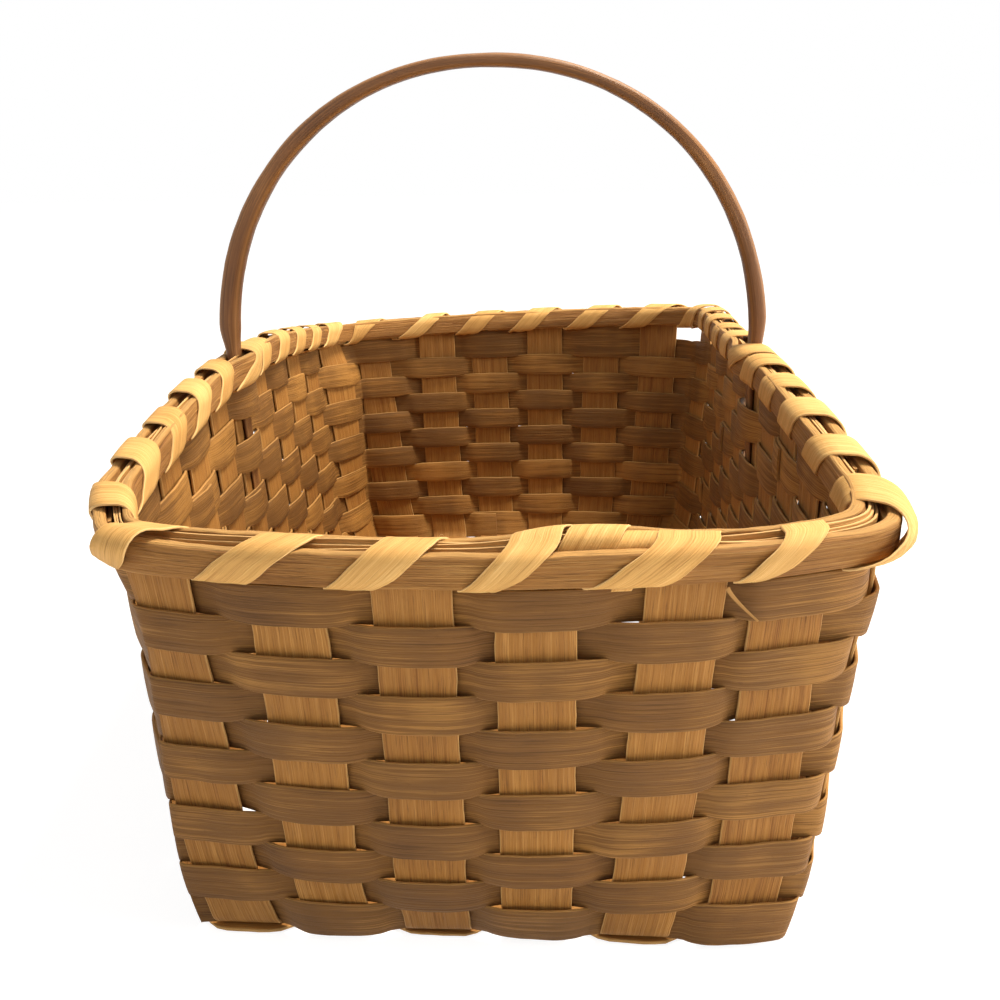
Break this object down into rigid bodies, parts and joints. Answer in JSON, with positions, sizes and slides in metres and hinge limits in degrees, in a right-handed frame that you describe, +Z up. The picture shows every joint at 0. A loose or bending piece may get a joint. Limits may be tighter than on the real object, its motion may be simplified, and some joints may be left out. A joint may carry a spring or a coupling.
{
  "type": "splint market basket",
  "caption": "Rectangular hand-woven wood splint basket with a lashed hoop rim and a fixed bent-rod handle across its middle.",
  "frame": {"origin": "on the ground under the middle of the basket, at the lowest faces of the base splints", "axes": "+X across the basket, the way the handle spans; +Y along its length; +Z up"},
  "size_m": [0.2784, 0.4668, 0.315],
  "materials": {
    "stake_wood": "bare sanded splint, straight grain",
    "weaver_wood": "bare splint, darker greyish brown",
    "hoop_wood": "bare splint, lengthwise grain",
    "core_wood": "bare pale splint",
    "lashing_wood": "bare pale splint, fine grain",
    "handle_wood": "smooth bent rod, handled satin"
  },
  "bodies": {
    "root": {"long_stake_1": "stake_wood", "long_stake_2": "stake_wood", "long_stake_3": "stake_wood", "long_stake_4": "stake_wood", "long_stake_5": "stake_wood", "long_stake_6": "stake_wood", "cross_stake_1": "stake_wood", "cross_stake_2": "stake_wood", "cross_stake_3": "stake_wood", "cross_stake_4": "stake_wood", "cross_stake_5": "stake_wood", "cross_stake_6": "stake_wood", "cross_stake_7": "stake_wood", "cross_stake_8": "stake_wood", "cross_stake_9": "stake_wood", "cross_stake_10": "stake_wood", "cross_stake_11": "stake_wood", "weaver_1": "weaver_wood", "weaver_2": "weaver_wood", "weaver_3": "weaver_wood", "weaver_4": "weaver_wood", "weaver_5": "weaver_wood", "weaver_6": "weaver_wood", "weaver_7": "weaver_wood", "weaver_8": "weaver_wood", "weaver_9": "weaver_wood", "weaver_10": "weaver_wood", "weaver_11": "weaver_wood", "outer_rim_hoop": "hoop_wood", "inner_rim_hoop": "hoop_wood", "rim_core_front": "core_wood", "rim_core_back": "core_wood", "rim_lashing": "lashing_wood", "handle": "handle_wood"}
  },
  "joints": []
}
